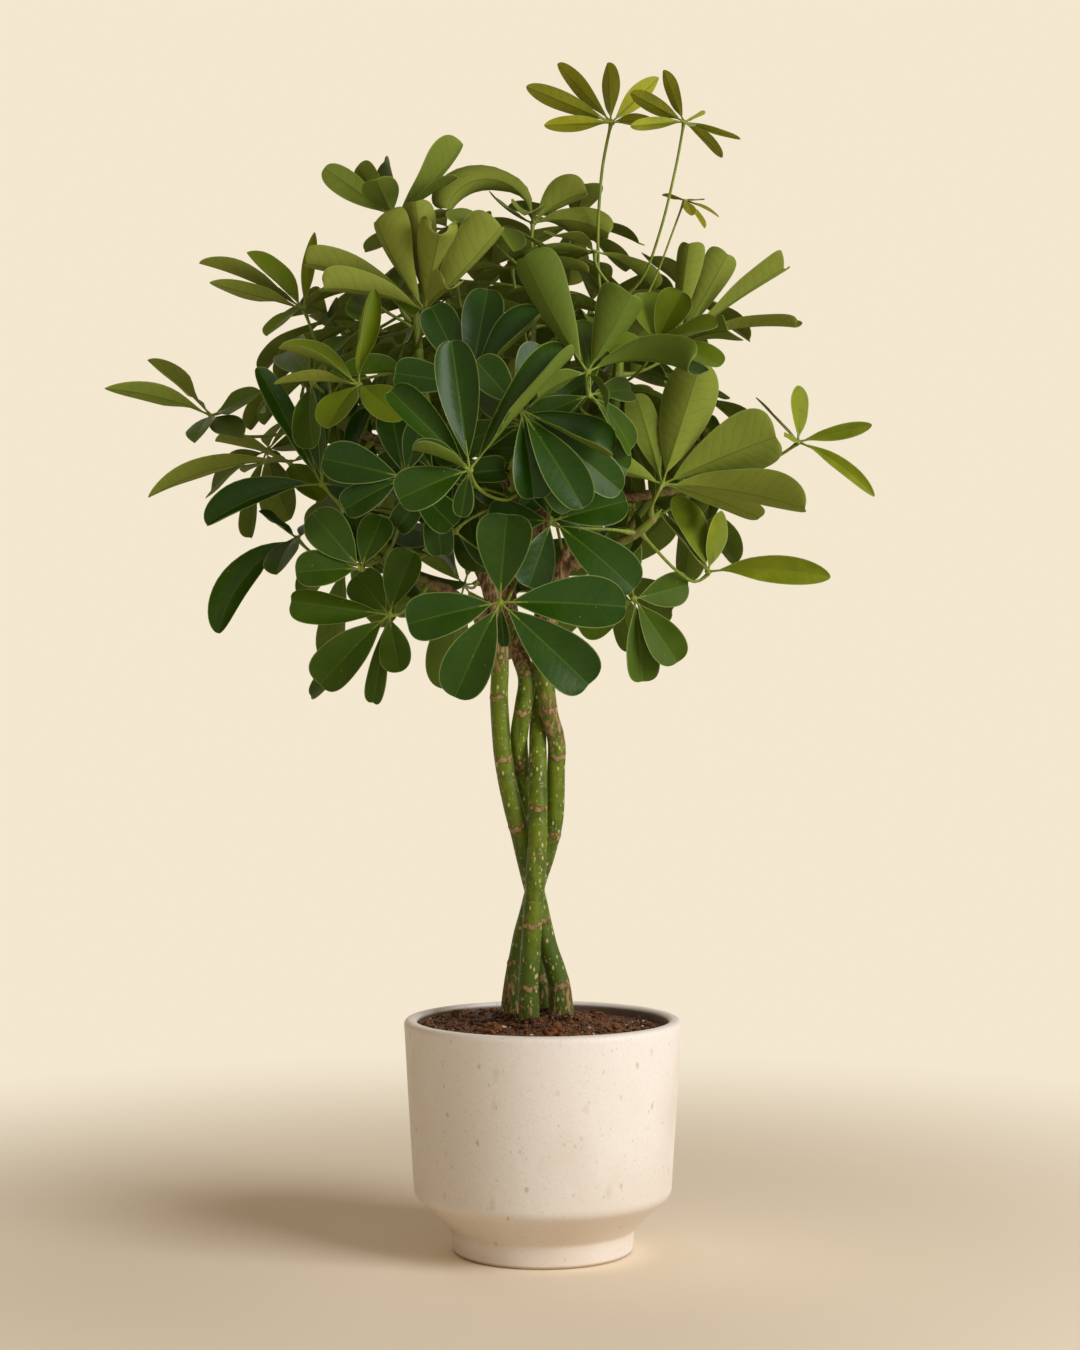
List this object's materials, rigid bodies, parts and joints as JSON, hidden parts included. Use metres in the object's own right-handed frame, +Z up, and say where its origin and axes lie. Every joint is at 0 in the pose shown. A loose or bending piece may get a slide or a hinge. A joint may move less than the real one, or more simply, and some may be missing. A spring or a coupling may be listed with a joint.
{
  "type": "potted umbrella tree",
  "caption": "Potted umbrella tree: plaited green trunk, round crown of palmate leaves with a few long young shoots, and a round stoneware pot that steps in to a foot.",
  "frame": {"origin": "middle of the pot's flat underside", "axes": "+Z up along the trunk, -Y towards the front, +X to the right as seen from the front"},
  "size_m": [0.5499, 0.4222, 0.8654],
  "materials": {
    "cream_stoneware": "matte",
    "potting_soil": "matte",
    "green_bark": "satin",
    "brown_bark": "matte",
    "mature_leaf": "satin",
    "young_leaf": "satin",
    "olive_leaf": "satin"
  },
  "bodies": {
    "root": {"pot": "cream_stoneware", "soil": "potting_soil", "stem_left": "green_bark", "stem_rear": "green_bark", "stem_front": "green_bark", "stem_right": "green_bark", "branch_left_low": "brown_bark", "branch_left": "brown_bark", "branch_front": "brown_bark", "branch_right": "brown_bark", "branch_right_far": "brown_bark", "branch_left_back": "brown_bark", "branch_back": "brown_bark", "branch_right_back": "brown_bark", "leaf_front_low": "mature_leaf", "leaf_front_glossy": "mature_leaf", "leaf_front_middle": "mature_leaf", "leaf_front_high": "mature_leaf", "leaf_front_right_low": "mature_leaf", "leaf_left_low": "mature_leaf", "leaf_left_bud": "mature_leaf", "leaf_left_droop": "mature_leaf", "leaf_left_middle": "mature_leaf", "leaf_left_inner": "mature_leaf", "leaf_far_left": "mature_leaf", "leaf_left_sweep": "mature_leaf", "leaf_left_crown": "mature_leaf", "leaf_left_upper": "mature_leaf", "leaf_crown_left": "mature_leaf", "leaf_crown_front": "mature_leaf", "leaf_centre_upper": "mature_leaf", "leaf_crown_top": "mature_leaf", "leaf_crown_right": "mature_leaf", "leaf_crown_right_front": "mature_leaf", "leaf_right_middle": "mature_leaf", "leaf_right_low": "mature_leaf", "young_leaf_tall": "young_leaf", "young_leaf_tall_right": "young_leaf", "young_leaf_small": "young_leaf", "young_leaf_far_right": "young_leaf", "leaf_right_long": "young_leaf", "leaf_back_low_left": "olive_leaf", "leaf_back_low": "olive_leaf", "leaf_back_low_right": "olive_leaf", "leaf_right_back_low": "olive_leaf", "leaf_left_back": "olive_leaf", "leaf_back_left": "olive_leaf", "leaf_back": "olive_leaf", "leaf_back_right": "olive_leaf", "leaf_right_back": "olive_leaf", "leaf_back_crown_left": "olive_leaf", "leaf_back_crown": "olive_leaf", "leaf_back_crown_right": "olive_leaf", "leaf_right_back_crown": "olive_leaf", "leaf_top_back_left": "olive_leaf", "leaf_top_back": "olive_leaf", "leaf_inner_left": "olive_leaf", "leaf_inner_right": "olive_leaf", "leaf_inner_back": "olive_leaf"}
  },
  "joints": []
}
